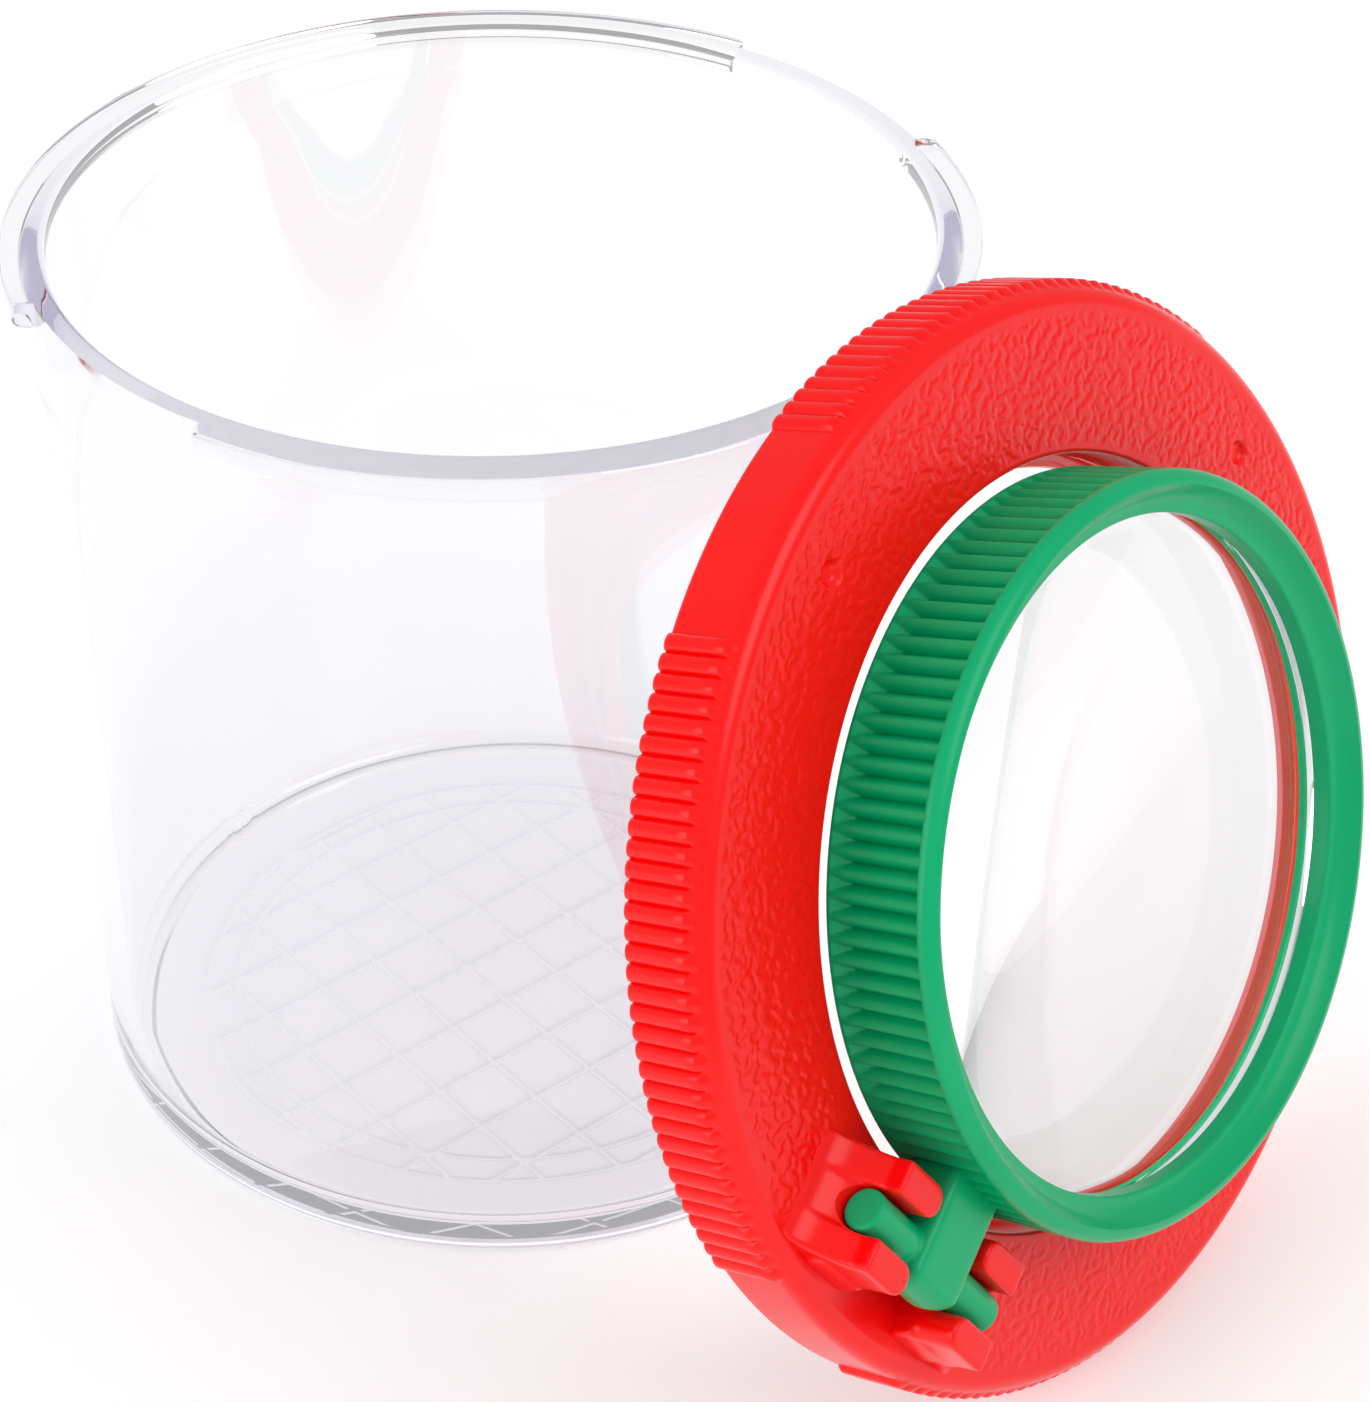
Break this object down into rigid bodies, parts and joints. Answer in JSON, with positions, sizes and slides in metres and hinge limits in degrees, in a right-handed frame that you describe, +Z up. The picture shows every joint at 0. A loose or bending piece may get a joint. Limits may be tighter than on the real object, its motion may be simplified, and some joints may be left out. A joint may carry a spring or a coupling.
{
  "type": "bug catcher jar",
  "caption": "Clear plastic bug viewing jar whose twist-on lid holds a magnifying lens, with a second lens in a hinged flip-up frame; lid off, leaning on the jar.",
  "frame": {"origin": "middle of the jar's base, on the surface that it stands on", "axes": "+Z up along the jar's axis; the lid stands towards +X and -Y, at 41.2 degrees from +X"},
  "size_m": [0.0932, 0.0931, 0.0702],
  "materials": {
    "clear_plastic": "clear, polished",
    "lens_plastic": "clear, polished",
    "red_plastic": "semi-gloss, fine leather grain on the face",
    "green_plastic": "semi-gloss"
  },
  "bodies": {
    "jar": {"jar": "clear_plastic"},
    "lid": {"lid": "red_plastic", "lid_lens": "lens_plastic"},
    "lens_frame": {"lens_frame": "green_plastic", "frame_lens": "lens_plastic"}
  },
  "joints": [
    {"name": "lid_lift", "type": "slide", "parent": "jar", "child": "lid", "axis": [0, 0, 1], "range_m": [0, 0.08]},
    {"name": "lens_flip", "type": "hinge", "parent": "lid", "child": "lens_frame", "pos_m": [0.02453, -0.05543, 0.02303], "axis": [0.5383, 0.1933, -0.8203], "range_deg": [0, 160]}
  ]
}
